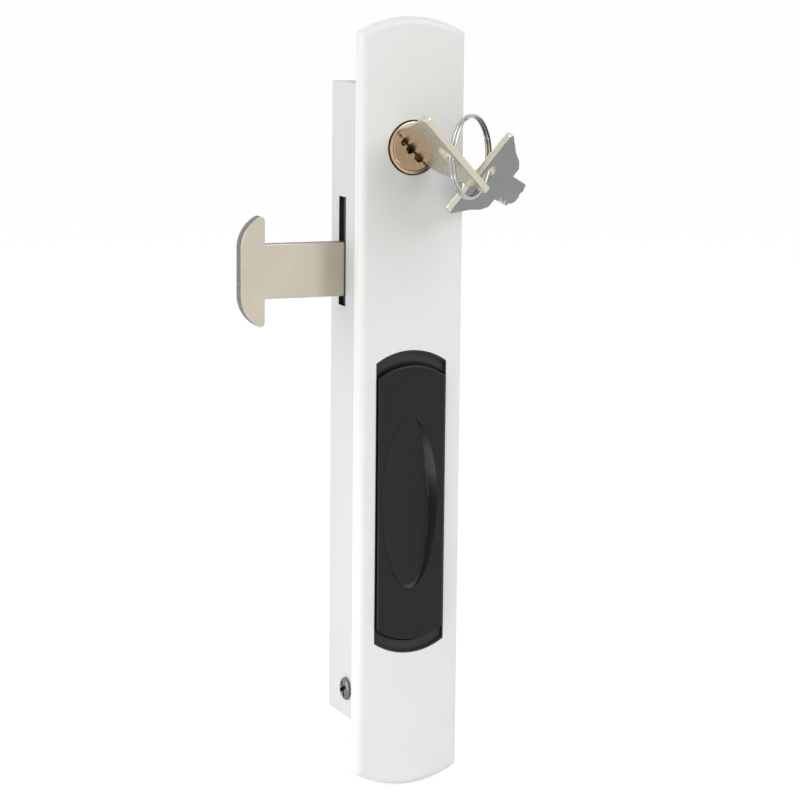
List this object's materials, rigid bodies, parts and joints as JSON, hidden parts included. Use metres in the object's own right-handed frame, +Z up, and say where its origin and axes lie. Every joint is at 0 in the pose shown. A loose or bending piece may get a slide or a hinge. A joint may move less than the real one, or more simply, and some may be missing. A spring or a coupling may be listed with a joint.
{
  "type": "sliding patio door lock",
  "caption": "Sliding door lock: long white face plate, side T-bolt driven by a black thumb slide with a finger dish, key cylinder and two keys on a ring.",
  "frame": {"origin": "centre of the face plate's back face, in the plane where it meets the door stile", "axes": "+X across the plate, away from the T-bolt; +Y into the stile; +Z up along the plate"},
  "size_m": [0.0877, 0.0582, 0.22],
  "materials": {
    "plate_paint": "satin white powder coat",
    "case_paint": "satin white powder coat",
    "zinc_plate": "zinc plated steel",
    "screw_steel": "steel",
    "black_liner": "matt black moulding",
    "black_slide": "fine matt black moulding",
    "pin_steel": "ground steel",
    "bolt_nickel": "satin nickel plate",
    "cylinder_nickel": "polished nickel",
    "wafer_brass": "brass",
    "key_nickel": "nickel plated brass",
    "ring_chrome": "bright nickel"
  },
  "bodies": {
    "case": {"face_plate": "plate_paint", "upper_fixing_post": "zinc_plate", "lower_fixing_post": "zinc_plate", "lock_case": "case_paint", "case_side_screws": "screw_steel", "slide_liner": "black_liner", "lever_pivot_pin": "pin_steel", "lever_retaining_ring": "pin_steel", "guide_rail_left": "zinc_plate", "guide_rail_right": "zinc_plate", "cylinder_body": "cylinder_nickel", "cylinder_screws": "screw_steel"},
    "thumb_slide": {"thumb_slide": "black_slide", "slide_carrier": "zinc_plate", "slide_screws": "screw_steel", "slide_drive_pin": "pin_steel"},
    "bolt": {"t_bolt": "bolt_nickel", "bolt_carriage": "zinc_plate", "bolt_rivets": "pin_steel", "carriage_drive_pin": "pin_steel", "bolt_dust_shield": "black_liner", "detent_ball": "pin_steel", "detent_spring": "pin_steel"},
    "lever": {"transfer_lever": "zinc_plate"},
    "plug": {"cylinder_plug": "cylinder_nickel", "wafer_tumblers": "wafer_brass", "key_cam": "zinc_plate", "cam_screw": "screw_steel", "operating_key": "key_nickel"},
    "ring": {"key_ring": "ring_chrome"},
    "spare_key": {"spare_key": "key_nickel"}
  },
  "joints": [
    {"name": "bolt_slide", "type": "slide", "parent": "case", "child": "bolt", "axis": [0, 0, 1], "range_m": [0, 0.0099]},
    {"name": "thumb_slide_travel", "type": "slide", "parent": "case", "child": "thumb_slide", "axis": [0, 0, 1], "range_m": [0, 0.00351]},
    {"name": "lever_turn", "type": "hinge", "parent": "case", "child": "lever", "pos_m": [0.0092, 0.009, 0.02], "axis": [0, 1, 0], "range_deg": [0, 33.64]},
    {"name": "key_turn", "type": "hinge", "parent": "case", "child": "plug", "pos_m": [0, 0, 0.0739], "axis": [0, 1, 0], "range_deg": [-60, 0]},
    {"name": "ring_swing", "type": "hinge", "parent": "plug", "child": "ring", "pos_m": [0.00048, -0.0299, 0.07339], "axis": [-0.6347, 0.7727, 0], "range_deg": [-3, 30]},
    {"name": "spare_key_swing", "type": "hinge", "parent": "ring", "child": "spare_key", "pos_m": [0.01678, -0.01651, 0.06728], "axis": [0.3568, 0.2931, 0.887], "range_deg": [-10, 4]}
  ],
  "couplings": [
    {"joint": "thumb_slide_travel", "follows": "bolt_slide", "ratio": 0.35354},
    {"joint": "lever_turn", "follows": "bolt_slide", "rad_per_m": 59.219}
  ]
}
